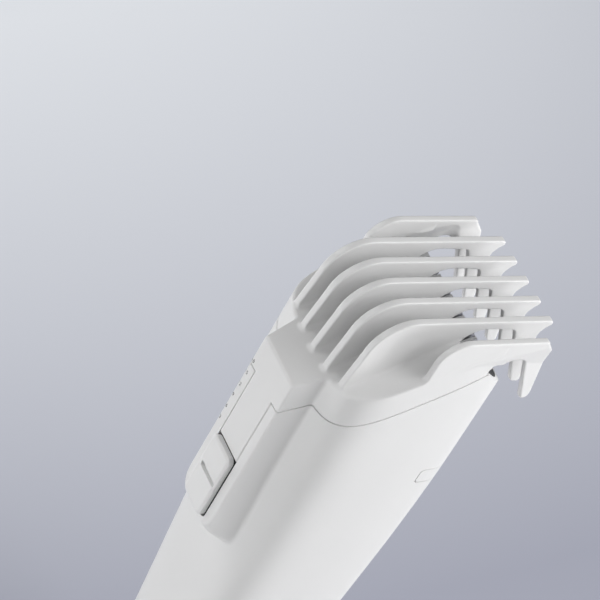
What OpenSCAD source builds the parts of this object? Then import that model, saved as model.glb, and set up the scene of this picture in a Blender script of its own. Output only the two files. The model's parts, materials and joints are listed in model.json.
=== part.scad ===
// Rechargeable hair clipper with a sliding length comb.
// Stands upright on its base: +Z runs up to the comb, -Y is the front with the slider, +X is the right.
// The origin is the centre of the base face. Millimetres.

/* [Body] */
// Height of the comb seam above the base, measured on the front panel
seam_h = 138; // [130:1:150]
// Width of the head
head_w = 40; // [39:0.5:42]
// Depth of the head behind the raised front panel
head_d = 41; // [40:0.5:43]
// How much smaller the base is than the head, as a share
taper = 0.27; // [0.22:0.01:0.28]
// Distance of the head's crest behind the front panel
peak_y = 38.5; // [38:0.25:39]
// Squareness of the body's plan outline
section_power = 4.4; // [4:0.1:5]
// Wall of the moulded body
wall = 1.8; // [1.6:0.1:2]
// Slope of the seam, the head and the blades
seam_angle = 33; // [31:0.5:35]
// Height of the joint between body and bottom cap
cap_h = 5; // [4:0.5:6]
// Thickness of the bottom cap's floor
cap_floor = 2.5; // [2:0.1:3]

/* [Front panel and slot] */
// How far the panel stands in front of the head
panel_out = 6.5; // [6:0.1:7]
// Width of the panel's face
panel_w = 15.4; // [15:0.2:17]
// Draft of the panel's sides, each side
panel_draft = 1.4; // [1:0.1:1.8]
// Length of the panel below the seam
panel_len = 45.5; // [44:0.5:48]
// Thickness of the panel round the slot
panel_t = 2; // [1.8:0.1:2.2]
// Width of the slot
slot_w = 9.8; // [9:0.1:10.2]
// Length of the slot below the seam
slot_len = 38.3; // [37:0.1:39]

/* [Slider] */
// Length of the thumb piece
knob_len = 18.5; // [17:0.5:19]
// Height of the thumb piece over the panel
knob_h = 1.5; // [1:0.1:2]
// Travel of the comb
comb_travel = 18; // [15:3:18]
// Step between two comb settings
comb_step = 3.6; // [3:0.6:3.6]
// Depth of the sliding carriage
carriage_d = 3.1; // [2.8:0.1:3.1]

/* [Length comb] */
// Distance between two comb teeth
tooth_pitch = 6.2; // [5.8:0.1:6.3]
// Number of comb teeth between the cheeks
tooth_count = 5; // [3:2:5]
// Thickness of a comb tooth
tooth_t = 1.9; // [1.6:0.1:2.2]
// Height of the tooth tips above the seam
comb_h = 36; // [35:0.5:38]
// Reach of the tooth tips behind the front panel
comb_reach = 53.8; // [52:0.2:56]
// Depth of a tooth where it runs free
tooth_depth = 2.6; // [2.2:0.1:3]
// Height of the comb's deck above the seam
deck_rise = 8.6; // [8:0.2:10]
// Wall of the comb
comb_wall = 1.7; // [1.4:0.1:1.9]
// Thickness of the comb's deck
deck_t = 1.6; // [1.4:0.1:2]
// Running clearance between comb and head
comb_gap = 0.5; // [0.4:0.05:0.7]

/* [Blades] */
// Distance from the head's side to the end of the fixed blade
blade_margin = 3.5; // [3.3:0.1:4.5]
// Length of the fixed blade, tooth tip to back edge
blade_len = 16; // [15:0.5:17]
// Thickness of the fixed blade
blade_t = 1.2; // [1:0.1:1.4]
// Thickness of the moving blade
cutter_t = 1; // [0.8:0.1:1.2]
// Distance between two blade teeth
fine_pitch = 1.6; // [1.5:0.1:2]
// Gap between two blade teeth
fine_gap = 0.8; // [0.6:0.1:0.9]
// Travel of the moving blade, each side of the middle
cutter_throw = 1; // [0.8:0.1:1.2]
// Distance of the blade tips in front of the head's crest
tip_back = 1.3; // [0.8:0.1:1.8]

/* [Drive] */
// Diameter of the motor can
motor_d = 20.4; // [19:0.2:21]
// Thickness of the motor across its flats
motor_flat = 15.4; // [14:0.2:16]
// Length of the motor can
motor_len = 27; // [25:0.5:30]
// Diameter of the motor shaft
shaft_d = 2; // [1.8:0.1:2.3]
// Diameter of the drive pin
pin_d = 1.6; // [1.4:0.1:2]

/* [Electrics] */
// Diameter of the battery cell
cell_d = 14.2; // [13:0.1:14.6]
// Length of the battery cell
cell_len = 48; // [45:1:50]
// Thickness of the circuit board
board_t = 1.2; // [1:0.1:1.6]
// Height of the power button's centre
button_z = 52; // [50:1:54]
// Width of the power button
button_w = 9; // [8:0.2:10]
// Length of the power button
button_len = 15; // [13:0.5:17]
// Travel of the power button
button_travel = 0.6; // [0.4:0.1:0.8]
// Height of the indicator window's centre
window_z = 36; // [34:1:38]
// Diameter of the indicator window
window_d = 2.6; // [2:0.1:3]

/* [Hidden] */

$fn = 48;
tiny = 0.01;
far = 200;
// Clearances: parts that seat, parts that slide
seat_gap = 0.15;
slide_gap = 0.15;
// Screws of the case, of the plates and of the board
case_screw_d = 2;
case_head_d = 4.4;
plate_screw_d = 1.7;
plate_head_d = 3.6;
plate_head_h = 1.2;
board_screw_d = 1.5;

shell_white = [0.91, 0.91, 0.91];
graphite = [0.13, 0.13, 0.14];
steel = [0.72, 0.73, 0.75];
brass = [0.8, 0.65, 0.3];
board_green = [0.1, 0.35, 0.2];
rubber_grey = [0.3, 0.3, 0.32];

// Plan outline: a superellipse that narrows smoothly from the seam down to the base
ring_points = 48;
body_levels = 9;
front_y = -(head_d / 2 + panel_out);
slope = tan(seam_angle);
head_rise = 34;

// Along the head, behind the panel's face: its back, the blade tips, the motor's axis
back_y = panel_out + head_d;
tip_y = peak_y - tip_back;
drive_y = tip_y - 5.2;
drive_model_y = front_y + drive_y;

function signed_power(v, p) = sign(v) * pow(abs(v), p);
function ease(t) = t * t * (3 - 2 * t);
function body_scale(z) = z >= seam_h ? 1 : 1 - taper * ease((seam_h - z) / seam_h);
function half_w(z) = head_w / 2 * body_scale(z);
function half_d(z) = head_d / 2 * body_scale(z);
function ring(z, inset) = [
    for (i = [0 : ring_points - 1])
        let (a = 360 * i / ring_points)
        [(half_w(z) - inset) * signed_power(cos(a), 2 / section_power),
         (half_d(z) - inset) * signed_power(sin(a), 2 / section_power), z]
];
function arc(centre, r, from, to, steps) = [
    for (i = [0 : steps])
        let (a = from + (to - from) * i / steps)
        [centre[0] + r * cos(a), centre[1] + r * sin(a)]
];
function levels(from, to, steps) = [for (i = [0 : steps]) from + (to - from) * i / steps];

// Solid through rings at the given [height, inset] stations
module loft(stations) {
    count = len(stations);
    points = [for (s = stations) each ring(s[0], s[1])];
    lower = [for (i = [0 : ring_points - 1]) i];
    upper = [for (i = [ring_points - 1 : -1 : 0]) (count - 1) * ring_points + i];
    sides = [
        for (k = [0 : count - 2], i = [0 : ring_points - 1])
            let (
                j = (i + 1) % ring_points,
                a = k * ring_points + i,
                b = k * ring_points + j
            )
            each [[a, a + ring_points, b + ring_points], [a, b + ring_points, b]]
    ];
    polyhedron(points = points, faces = concat([lower], sides, [upper]));
}

module body_loft(inset, from = cap_h, to = seam_h + head_rise) {
    stations = concat(levels(from, seam_h, body_levels), [to]);
    loft([for (z = stations) [z, inset]]);
}

module head_loft(inset, from, to) {
    loft([[from, inset], [to, inset]]);
}

// Head coordinates: y back from the front panel's face, z up from the seam on that face
module in_head() {
    translate([0, front_y, seam_h]) children();
}

// Prism across the body from a side outline in [y, z]
module side_prism(width, outline) {
    rotate([90, 0, 90]) linear_extrude(height = width, center = true) polygon(outline);
}

// Blade coordinates: y up the slope with the tooth tips at 0, z out of the head with the blade's top at 0
blade_rise = 4.46;
tip_z = slope * tip_y + blade_rise;
module on_blade() {
    in_head() translate([0, tip_y, tip_z]) rotate([seam_angle, 0, 0]) children();
}

module block(x, y, z) {
    translate([x[0], y[0], z[0]]) cube([x[1] - x[0], y[1] - y[0], z[1] - z[0]]);
}

// Rounded bar along Y: a slot shape, width by height, from y0 to y1
module pill_y(w, h, y0, y1) {
    r = min(w, h) / 2;
    rotate([90, 0, 0]) translate([0, 0, -y1]) linear_extrude(height = y1 - y0) {
        square([w - 2 * r + tiny, h], center = true);
        square([w, h - 2 * r + tiny], center = true);
        for (sx = [-1, 1], sz = [-1, 1])
            translate([sx * (w / 2 - r), sz * (h / 2 - r)]) circle(r = r);
    }
}

module rounded_plate(w, h, r, t) {
    linear_extrude(height = t) {
        square([w - 2 * r, h], center = true);
        square([w, h - 2 * r], center = true);
        for (sx = [-1, 1], sy = [-1, 1])
            translate([sx * (w / 2 - r), sy * (h / 2 - r)]) circle(r = r);
    }
}

// Seam and deck lines in head coordinates
function seam_at(y) = slope * y;
function deck_at(y) = seam_at(y) + deck_rise;
rear_fall = 0.7;
seam_gap = 0.2;
function rear_rim(y) = seam_at(peak_y) - rear_fall * (y - peak_y);

// Everything below the seam and below the slope behind the blades
module below_seam(drop = 0) {
    in_head() side_prism(far, [
        [-far, -far], [far, -far], [far, rear_rim(far) - drop],
        [peak_y, seam_at(peak_y) - drop], [-far, seam_at(-far) - drop]
    ]);
}

/* ---- Raised front panel ---- */
panel_r = 6.5;
panel_edge = 0.5;
panel_foot = 6;
function panel_half(y) = panel_w / 2 + panel_draft * y / panel_out;

module panel_solid(z0, z1) {
    depth = panel_out + head_d / 4;
    intersection() {
        in_head() translate([0, 0, z0]) linear_extrude(height = z1 - z0) polygon([
            [-panel_half(0) + panel_edge, 0], [panel_half(0) - panel_edge, 0],
            [panel_half(panel_edge), panel_edge], [panel_half(depth), depth],
            [-panel_half(depth), depth], [-panel_half(panel_edge), panel_edge]
        ]);
        in_head() rotate([90, 0, 0]) translate([0, 0, -far]) linear_extrude(height = 2 * far) {
            w = panel_half(depth);
            translate([-w, -panel_len + panel_r]) square([2 * w, panel_len - panel_r + far]);
            translate([-w + panel_r, -panel_len]) square([2 * (w - panel_r), panel_r + 1]);
            for (s = [-1, 1]) translate([s * (w - panel_r), -panel_len + panel_r]) circle(r = panel_r);
        }
        // The face slopes into the body below the slot
        in_head() side_prism(far, [
            [-1, far], [-1, panel_foot - panel_len + 1], [0, panel_foot - panel_len],
            [depth, -panel_len - panel_foot / 2], [far, -panel_len - panel_foot / 2], [far, far]
        ]);
    }
}

track_w = panel_w - 2.8;
track_back = panel_out + 0.5;
track_end = slot_len + 0.7;
knob_low = slot_len - 0.3;

/* ---- Outer shell ---- */
// Band inside the head between two insets, from a depth under the rim up to another
lip = 0.9;
rim_drop = 1;
module rim_band(outer, inner, low, high) {
    difference() {
        intersection() {
            head_loft(outer, seam_h - 2 * head_rise / 3, seam_h + head_rise + 2);
            below_seam(high);
        }
        below_seam(low);
        if (inner < head_w / 2) head_loft(inner, seam_h - head_rise, seam_h + head_rise + 3);
    }
}

plug_z = seam_h - 8.5;
plug_w = 9;
plug_h = 4.4;
plug_r = 1;
plug_gap = 0.12;
corner_turn = 51;
// Distance of the head's rear corner from the axis
corner_reach = 1 / pow(
    pow(sin(corner_turn) / (head_w / 2), section_power) + pow(cos(corner_turn) / (head_d / 2), section_power),
    1 / section_power
);

// Frame on a rear corner: z points out of the body
module on_rear_corner(side) {
    translate([0, 0, plug_z]) rotate([90, 0, side * corner_turn + 180]) children();
}

module plug_prism(side, shrink, from, to) {
    on_rear_corner(side) translate([0, 0, from])
        rounded_plate(plug_w - 2 * shrink, plug_h - 2 * shrink, plug_r, to - from);
}

// Frame on the front face at a height: z points out of the body, x to the left
function front_tilt(z) = atan((half_d(z + 1) - half_d(z - 1)) / 2);
module on_front(z) {
    translate([0, -half_d(z), z]) rotate([front_tilt(z), 0, 0]) children();
}

module main_housing() color(shell_white) difference() {
    intersection() {
        union() {
            body_loft(0);
            panel_solid(-panel_len, head_rise);
        }
        below_seam();
    }
    body_loft(wall, cap_h - 1, seam_h + head_rise + 1);
    rim_band(lip, far, rim_drop, -1);
    // Slot with its wider track behind
    in_head() translate([0, panel_t + 1, 0]) rotate([90, 0, 0])
        rounded_plate(slot_w, 2 * slot_len, knob_r, panel_t + 2);
    in_head() block([-track_w / 2, track_w / 2], [panel_t, track_back], [-track_end, head_rise]);
    // Power button and indicator window
    on_front(button_z) pill_y(button_w + 2 * slide_gap, button_len + 2 * slide_gap, -2, wall + 2);
    on_front(window_z) rotate([-90, 0, 0])
        cylinder(d = window_d + 2 * tiny, h = 2 * wall + 2, center = true);
    for (side = [-1, 1]) plug_prism(side, 0, head_w / 3, head_w);
}

collar_h = 4;
socket_gap = 0.25;
module bottom_cap() color(shell_white) difference() {
    hole_t = socket_t + 2 * socket_gap;
    union() {
        loft([[0, 1.6], [0.45, 0.7], [1.3, 0.15], [2.2, 0], [cap_h, 0]]);
        loft([[cap_floor, wall + seat_gap], [cap_h + collar_h, wall + seat_gap]]);
    }
    loft([[cap_floor, 2 * wall + seat_gap], [cap_h + collar_h + 1, 2 * wall + seat_gap]]);
    cap_seal_ring(0);
    for (s = [-1, 1]) translate([s * cap_screw_x, cap_screw_y, 0]) {
        translate([0, 0, -1]) cylinder(d = case_head_d + 0.4, h = 1 + cap_seat);
        cylinder(d = case_screw_d + 0.3, h = cap_floor + 1);
    }
    translate([0, socket_y, -1])
        rounded_plate(socket_w + 2 * socket_gap, hole_t, hole_t / 2 - tiny, far);
}

seal_t = 1;
module cap_seal_ring(shrink) {
    z = cap_h + 1.5;
    difference() {
        loft([[z, wall + tiny], [z + seal_t, wall + tiny]]);
        loft([[z - 1, wall + seat_gap + 0.7 - shrink], [z + seal_t + 1, wall + seat_gap + 0.7 - shrink]]);
    }
}

module cap_seal() color(rubber_grey) cap_seal_ring(tiny);

cap_screw_x = 7;
cap_screw_y = drive_model_y;
cap_seat = 1.5;
module cap_screws() color(steel) for (s = [-1, 1]) translate([s * cap_screw_x, cap_screw_y, 0]) {
    translate([0, 0, 0.2]) difference() {
        cylinder(d = case_head_d, h = cap_seat - 0.2);
        translate([0, 0, -tiny]) cylinder(d = 0.36 * case_head_d, h = 0.8, $fn = 6);
    }
    translate([0, 0, cap_seat]) cylinder(d = case_screw_d, h = foot_z1 - 2 * cap_seat);
}

module rear_plugs() color(shell_white) for (side = [-1, 1]) intersection() {
    plug_prism(side, plug_gap, 0, head_w);
    difference() {
        head_loft(0, plug_z - plug_h, plug_z + plug_h);
        head_loft(wall, plug_z - plug_h - 1, plug_z + plug_h + 1);
    }
}

/* ---- Slider ---- */
knob_r = 1.3;
groove_w = 7.4;
groove_h = 0.84;
groove_d = 0.85;
module slider_knob() color(shell_white) in_head() {
    w = slot_w - 2 * slide_gap;
    mid = knob_len / 2 - knob_low;
    difference() {
        translate([0, 0, mid]) rotate([90, 0, 0]) {
            hull() {
                rounded_plate(w, knob_len, knob_r, tiny, $fn = 32);
                translate([0, 0, knob_h - 0.3])
                    rounded_plate(w - 0.4, knob_len - 0.4, knob_r - 0.1, tiny, $fn = 32);
                translate([0, 0, knob_h - tiny])
                    rounded_plate(w - 1.2, knob_len - 1.2, knob_r - 0.3, tiny, $fn = 32);
            }
        }
        // Thumb groove
        translate([0, 0, mid + groove_h]) rotate([90, 0, 0])
            translate([0, 0, knob_h - groove_d]) rounded_plate(groove_w, groove_h, 0.4, 2);
    }
    // Neck down to the carriage
    translate([0, panel_t + seat_gap, mid]) rotate([90, 0, 0])
        rounded_plate(w, knob_len, knob_r, panel_t + seat_gap + tiny, $fn = 32);
}

carriage_w = track_w - 2 * slide_gap;
carriage_y0 = panel_t + seat_gap;
carriage_y1 = carriage_y0 + carriage_d;
hook_w = 6;
hook_t = 1.1;
hook_y0 = carriage_y0 + 0.9;
hook_len = 7.4;
knob_top = knob_len - knob_low;
carriage_hole_x = carriage_w / 2 - 1.6;
module slider_carriage() color(graphite) in_head() difference() {
    block([-carriage_w / 2, carriage_w / 2], [carriage_y0, carriage_y1], [-knob_low, knob_top]);
    // Pocket of the comb's hook
    block([-hook_w / 2 - slide_gap, hook_w / 2 + slide_gap],
        [hook_y0 - slide_gap, hook_y0 + hook_t + slide_gap], [knob_top - hook_len - slide_gap, 1]);
    for (s = [-1, 1]) translate([s * carriage_hole_x, carriage_y0 - 1, -knob_low + 3])
        rotate([-90, 0, 0]) cylinder(d = 1.8, h = carriage_d + 2);
}

// Leaf with a rounded nose that drops into the rack's notches
rack_t = 0.8;
rack_y = track_back - rack_t;
leaf_t = 0.3;
nose_r = 0.45;
nose_z = 8 - knob_low;
leaf_w = 4;
leaf_half = 6;
module detent_spring() color(steel) in_head() {
    block([-leaf_w / 2, leaf_w / 2], [carriage_y1, carriage_y1 + leaf_t],
        [nose_z - leaf_half, nose_z + leaf_half]);
    block([-leaf_w / 2, leaf_w / 2], [carriage_y1, rack_y - nose_r], [nose_z - leaf_t, nose_z + leaf_t]);
    translate([0, rack_y - nose_r - 0.05, nose_z]) rotate([0, 90, 0])
        cylinder(r = nose_r, h = leaf_w, center = true);
}

rack_w = 6;
rack_end = 4;
module detent_rack() color(graphite) in_head() difference() {
    block([-rack_w / 2, rack_w / 2], [rack_y, track_back - tiny],
        [nose_z - rack_end, nose_z + comb_travel + rack_end]);
    for (z = [0 : comb_step : comb_travel + tiny])
        translate([0, rack_y, nose_z + z]) rotate([0, 90, 0])
            cylinder(r = nose_r + 0.05, h = 2 * rack_w, center = true);
}

/* ---- Length comb ---- */
deck_end = peak_y - 7.5;
cheek_t = 1.7;
cheek_turn = 1.8;
top_slope = 0.045;
bow_r = 10.5;
bow_y = 18.2;
foot_y = 6.3;
foot_curve = 0.0072;
leg_h = 19.5;
shell_back = peak_y - 0.8;

function top_at(y) = comb_h - top_slope * (comb_reach - y);

// Side outline of a tooth: foot, bow, straight top, overhanging tip, leg, free underside
function tooth_outline(x) =
    let (
        under = top_at(comb_reach - 12) - tooth_depth,
        bow_z = top_at(bow_y) - bow_r,
        back = foot_curve * x * x,
        foot = foot_y + back
    )
    concat(
        [[foot + 1, deck_at(foot + 1) - deck_t], [foot, deck_at(foot) - 0.4], [foot, deck_at(foot) + 1]],
        arc([bow_y + back, bow_z], bow_r, 178, 94, 10),
        [[comb_reach - 0.5, comb_h]],
        [[comb_reach, comb_h - 0.4], [comb_reach - 0.3, comb_h - 1.5]],
        [[comb_reach - 2.3, comb_h - 4.2]],
        [[comb_reach + 0.9, comb_h - leg_h + 0.4], [comb_reach + 0.5, comb_h - leg_h]],
        [[comb_reach - 1.3, comb_h - leg_h - 0.2], [comb_reach - 1.8, comb_h - leg_h + 0.3]],
        arc([comb_reach - 8.1, under - 2], 2, 20, 90, 4),
        arc([deck_end + 6.5, under - 6], 6, 90, 160, 6),
        [[deck_end, deck_at(deck_end) - deck_t]]
    );

// Side outline of a cheek, the outermost plate on each side
cheek_pivot = 22;
arch_outer = concat(
    arc([comb_reach - 10.4, comb_h - 9], 3.4, 20, 150, 8),
    [[peak_y + 0.4, seam_at(peak_y) + 2.2]]
);
arch_inner = concat(
    arc([comb_reach - 10.6, comb_h - 5.9], 3.2, 15, 100, 6),
    [[peak_y - 0.5, comb_h - 3.8], [deck_end + 0.5, comb_h - 6.7], [deck_end, deck_at(deck_end) - 1]]
);
function cheek_outline(arch) =
    let (end = comb_reach - 4.3)
    concat(
        [[cheek_pivot - 1, seam_at(cheek_pivot - 1) + seam_gap], [cheek_pivot, deck_at(cheek_pivot) - 0.5]],
        arc([29.5, top_at(29.5) - 7.4], 7.4, 166, 92, 8),
        arc([end - 0.9, top_at(end) - 0.9], 0.9, 90, 15, 3),
        [[end + 1.5, comb_h - 3], [comb_reach + 0.6, comb_h - leg_h + 3.2]],
        [[comb_reach + 0.2, comb_h - leg_h + 0.9], [comb_reach - 0.9, comb_h - leg_h]],
        [[comb_reach - 1.7, comb_h - leg_h + 0.1]],
        arch,
        [[deck_end, seam_at(deck_end) + seam_gap]]
    );

module comb_shell_slab() {
    in_head() side_prism(far, [
        [-1, seam_at(-1) + seam_gap], [shell_back, seam_at(shell_back) + seam_gap],
        [shell_back, deck_at(shell_back)], [-1, deck_at(-1)]
    ]);
}

// Room under the deck for the head and its blades
module comb_room() {
    in_head() side_prism(far, [
        [-far, -far], [far, -far], [far, far], [deck_end, far],
        [deck_end, deck_at(deck_end) - deck_t], [-far, deck_at(-far) - deck_t]
    ]);
}

module limit_comb() color(shell_white) {
    low = knob_top + 0.1;
    difference() {
        intersection() {
            union() {
                head_loft(0, seam_h - 2, seam_h + head_rise + 2);
                panel_solid(-2, head_rise);
            }
            comb_shell_slab();
        }
        intersection() {
            union() {
                head_loft(comb_wall, seam_h - 5, seam_h + head_rise + 5);
                in_head() block([-track_w / 2, track_w / 2], [panel_t, head_d / 2], [-5, head_rise]);
            }
            comb_room();
        }
        // Recess inside the shell under the cheeks' inner arches
        intersection() {
            head_loft(comb_wall / 2, seam_h - 5, seam_h + head_rise + 5);
            in_head() side_prism(far, [
                [deck_end, -far], [peak_y, -far], [peak_y, comb_h - 3.7],
                [deck_end + 0.5, comb_h - 6.7], [deck_end, deck_at(deck_end) - 1]
            ]);
        }
    }
    for (i = [0 : tooth_count - 1]) let (x = (i - (tooth_count - 1) / 2) * tooth_pitch)
        in_head() translate([x, 0, 0]) side_prism(tooth_t, tooth_outline(x));
    // Cheeks of two layers: the arch stands higher on the inner one
    for (s = [-1, 1], layer = [0, 1]) in_head() translate([s * (head_w / 2 - 0.07), cheek_pivot, 0])
        rotate([0, 0, s * cheek_turn]) translate([-s * cheek_t * (layer + 0.5) / 2, -cheek_pivot, 0])
            side_prism(cheek_t / 2 + tiny, cheek_outline(layer == 0 ? arch_outer : arch_inner));
    // Tongue that fills the slot above the thumb piece, with its hook behind
    in_head() {
        block([-slot_w / 2 + slide_gap, slot_w / 2 - slide_gap], [0, panel_t - 0.1],
            [low, seam_at(panel_t) + 1]);
        block([-hook_w / 2, hook_w / 2], [panel_t - 0.2, hook_y0 + hook_t], [low + 0.1, low + 2]);
        block([-hook_w / 2, hook_w / 2], [hook_y0, hook_y0 + hook_t], [low - hook_len + 0.1, low + 2]);
    }
}

/* ---- Head and blades ---- */
blade_w = head_w - 2 * blade_margin;
holder_w = blade_w - 0.4;
holder_back = -blade_len - 1;
holder_front = -1;
holder_low = -5.6;
cutter_w = blade_w - 5.4;
cutter_back = -9.5;
cutter_front = -0.7;
cutter_top = -blade_t - 0.05;
cutter_low = cutter_top - cutter_t;
yoke_low = cutter_low - 2.4;
yoke_w = cutter_w - 7.6;
spring_w = cutter_w - 0.6;
spring_t = 0.3;
blade_screw_x = blade_w / 2 - 4.5;
blade_screw_y = 2.8 - blade_len;
pin_gap = pin_d / 2 + 2 * cutter_throw + 0.25;
yoke_wall = 1.5;
yoke_bottom = 14;

insert_low = 3.6;
insert_high = 2;
insert_peak = peak_y - 2.36;
skirt_low = 13.5;
post_d = 5;
boss_low = -9.5;
drive_half_y = 2.4;
drive_half_x = pin_gap + yoke_wall + cutter_throw + 0.6;
module drive_window() {
    in_head() block([-drive_half_x, drive_half_x],
        [drive_y - drive_half_y - 0.6, drive_y + drive_half_y + 0.6], [0, tip_z - blade_rise]);
}

module head_frame() color(graphite) difference() {
    union() {
        // Flange in the rim of the housing
        rim_band(lip + seat_gap, 2 * wall + seat_gap, rim_drop - tiny, 0);
        // Bosses under the blade screws
        for (s = [-1, 1]) on_blade() translate([s * blade_screw_x, blade_screw_y, boss_low])
            cylinder(d = post_d, h = holder_low - boss_low);
        // Insert above the seam, inside the comb
        intersection() {
            head_loft(wall + comb_gap, seam_h - 30, seam_h + head_rise);
            in_head() side_prism(far, [
                [4, seam_at(4) - insert_low], [peak_y - 5, seam_at(peak_y - 5) - insert_low],
                [back_y, rear_rim(back_y) - insert_low - 2], [back_y, rear_rim(back_y) - rim_drop],
                [insert_peak, seam_at(insert_peak) + insert_high], [4, seam_at(4) + insert_high]
            ]);
        }
        // Skirt inside the housing
        intersection() {
            difference() {
                head_loft(wall + seat_gap, seam_h - skirt_low - 1, seam_h + head_rise);
                head_loft(2 * wall + seat_gap, seam_h - skirt_low - 2, seam_h + head_rise + 1);
            }
            in_head() side_prism(far, [
                [4, -skirt_low], [back_y, -skirt_low], [back_y, rear_rim(back_y) - rim_drop / 2],
                [peak_y, seam_at(peak_y) - rim_drop / 2], [4, seam_at(4) - rim_drop / 2]
            ]);
        }
        // Bosses for the rear corner screws
        for (side = [-1, 1]) on_rear_corner(side) translate([0, 0, corner_boss])
            cylinder(d = 6, h = corner_boss_h);
        // Posts that hold the motor bracket
        for (s = [-1, 1]) in_head() intersection() {
            translate([s * bracket_x, drive_y, bracket_z + bracket_t]) cylinder(d = post_d, h = head_rise);
            side_prism(far, [[0, -far], [far, -far], [far, seam_at(far) - 3], [0, seam_at(0) - 3]]);
        }
    }
    // Seat of the blade holder, open at the tips
    on_blade() block([-holder_w / 2 - seat_gap, holder_w / 2 + seat_gap],
        [holder_back - seat_gap, far], [holder_low, far]);
    // Room round the motor
    at_motor() motor_body(motor_d + 2 * motor_gap, motor_flat + 2 * motor_gap, -head_rise, motor_top);
    // Window for the yoke
    on_blade() block([-yoke_w / 2 - 2.5, yoke_w / 2 + 2.5], [cutter_back - 1.5, -3], [-20, 0]);
    drive_window();
    for (side = [-1, 1]) on_rear_corner(side) {
        cylinder(d = plate_screw_d, h = head_w);
        translate([0, 0, corner_boss + corner_boss_h]) cylinder(d = plate_head_d + 0.4, h = 4);
    }
    for (s = [-1, 1]) in_head() translate([s * bracket_x, drive_y, bracket_z])
        cylinder(d = plate_screw_d, h = 9);
    for (s = [-1, 1]) on_blade() translate([s * blade_screw_x, blade_screw_y, boss_low + 0.6])
        cylinder(d = plate_screw_d, h = 9);
}

// The rear corner screws lie under the plugs
corner_boss_h = 3.5;
corner_boss = corner_reach - 7.6;
module head_screws() color(steel) for (side = [-1, 1]) on_rear_corner(side) {
    translate([0, 0, corner_boss + corner_boss_h]) cylinder(d = plate_head_d, h = 1);
    translate([0, 0, corner_boss - 1]) cylinder(d = plate_screw_d, h = corner_boss_h + 1.5);
}

module blade_holder() color(graphite) difference() {
    on_blade() holder_body();
    drive_window();
}

module holder_body() difference() {
    block([-holder_w / 2, holder_w / 2], [holder_back, holder_front], [holder_low, -blade_t]);
    // Pocket of the moving blade, window of the yoke, seat of the spring
    block([-cutter_w / 2 - cutter_throw - 0.4, cutter_w / 2 + cutter_throw + 0.4],
        [cutter_back - 0.6, 1], [cutter_low - 0.2, 1]);
    block([-yoke_w / 2 - 2, yoke_w / 2 + 2], [cutter_back - 0.6, -2.6], [holder_low - 1, 0]);
    block([-spring_w / 2 - 0.1, spring_w / 2 + 0.1], [cutter_back - 0.6, -2.9],
        [yoke_low - 0.05 - spring_t, 0]);
    for (s = [-1, 1]) translate([s * blade_screw_x, blade_screw_y, boss_low])
        cylinder(d = plate_screw_d + 0.3, h = -boss_low);
}

module fine_teeth(count, depth, front) {
    for (i = [0 : count - 1])
        translate([(i - (count - 1) / 2) * fine_pitch - fine_gap / 2, front - depth, -5])
            cube([fine_gap, depth + 1, 10]);
}

module fixed_blade() color(steel) on_blade() {
    count = floor((blade_w - 3) / fine_pitch);
    difference() {
        block([-blade_w / 2, blade_w / 2], [-blade_len, 0], [-blade_t, 0]);
        fine_teeth(count, 4.2, 0);
        // Bevel over the tooth tips and the back edge
        translate([0, 0, -0.45]) rotate([-18, 0, 0]) translate([-far / 2, -2.2, 0.02]) cube([far, 10, 5]);
        translate([0, -blade_len, -0.5]) rotate([30, 0, 0]) translate([-far / 2, -5, 0]) cube([far, 5, 5]);
        for (s = [-1, 1]) translate([s * blade_screw_x, blade_screw_y, -5]) cylinder(d = 2.3, h = 9);
    }
}

module blade_screws() color(steel) on_blade() for (s = [-1, 1])
    translate([s * blade_screw_x, blade_screw_y, 0]) difference() {
        union() {
            cylinder(d = case_head_d, h = 1.1);
            translate([0, 0, boss_low + 0.8]) cylinder(d = plate_screw_d, h = -boss_low);
        }
        for (turn = [0, 90]) rotate([0, 0, turn]) translate([-1.2, -0.25, 0.5]) cube([2.4, 0.5, 1]);
    }

module moving_blade() color(steel) on_blade() {
    count = floor((cutter_w - 2) / fine_pitch);
    difference() {
        block([-cutter_w / 2, cutter_w / 2], [cutter_back, cutter_front], [cutter_low, cutter_top]);
        fine_teeth(count, 3.4, cutter_front);
        block([-far, far], [-6.6, -4.6], [cutter_top - 0.3, 1]);
    }
}

// Carrier under the moving blade, with two walls that the drive pin works between
module cutter_yoke() color(graphite) {
    on_blade() block([-yoke_w / 2, yoke_w / 2], [cutter_back + 0.1, -3.4], [yoke_low, cutter_low]);
    intersection() {
        for (s = [-1, 1]) in_head() translate([s * (pin_gap + yoke_wall / 2), drive_y, yoke_bottom])
            translate([-yoke_wall / 2, -drive_half_y, 0]) cube([yoke_wall, 2 * drive_half_y, 30]);
        on_blade() block([-far, far], [-far, far], [-far, cutter_low]);
    }
}

module cutter_spring() color(steel) on_blade() difference() {
    block([-spring_w / 2, spring_w / 2], [cutter_back - 0.5, -3],
        [yoke_low - 0.05 - spring_t, yoke_low - 0.05]);
    block([-drive_half_x, drive_half_x], [cutter_back - 1, -4], [-20, 0]);
}

/* ---- Drive ---- */
motor_top = 1;
bracket_t = 1.6;
bracket_z = motor_top;
ear_d = 6.4;
bracket_x = motor_d / 2 + plate_head_d / 2 + 0.4;
cam_z0 = bracket_z + bracket_t + 1.4;
cam_h = 6;
motor_low = motor_top - motor_len;
motor_gap = 0.3;
boss_d = 6;
module at_motor() {
    in_head() translate([0, drive_y, 0]) children();
}

module motor_body(d, flat, z0, z1) {
    intersection() {
        translate([0, 0, z0]) cylinder(d = d, h = z1 - z0);
        block([-d, d], [-flat / 2, flat / 2], [z0, z1]);
    }
}

can_t = 0.8;
module motor_can() color(steel) at_motor() difference() {
    union() {
        motor_body(motor_d, motor_flat, motor_low, motor_top);
        translate([0, 0, motor_top]) cylinder(d = boss_d, h = bracket_t - 0.2);
    }
    motor_body(motor_d - 2 * can_t, motor_flat - 2 * can_t, motor_low - 1, motor_top - can_t);
    cylinder(d = shaft_d + 0.2, h = 20, center = true);
}

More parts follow.
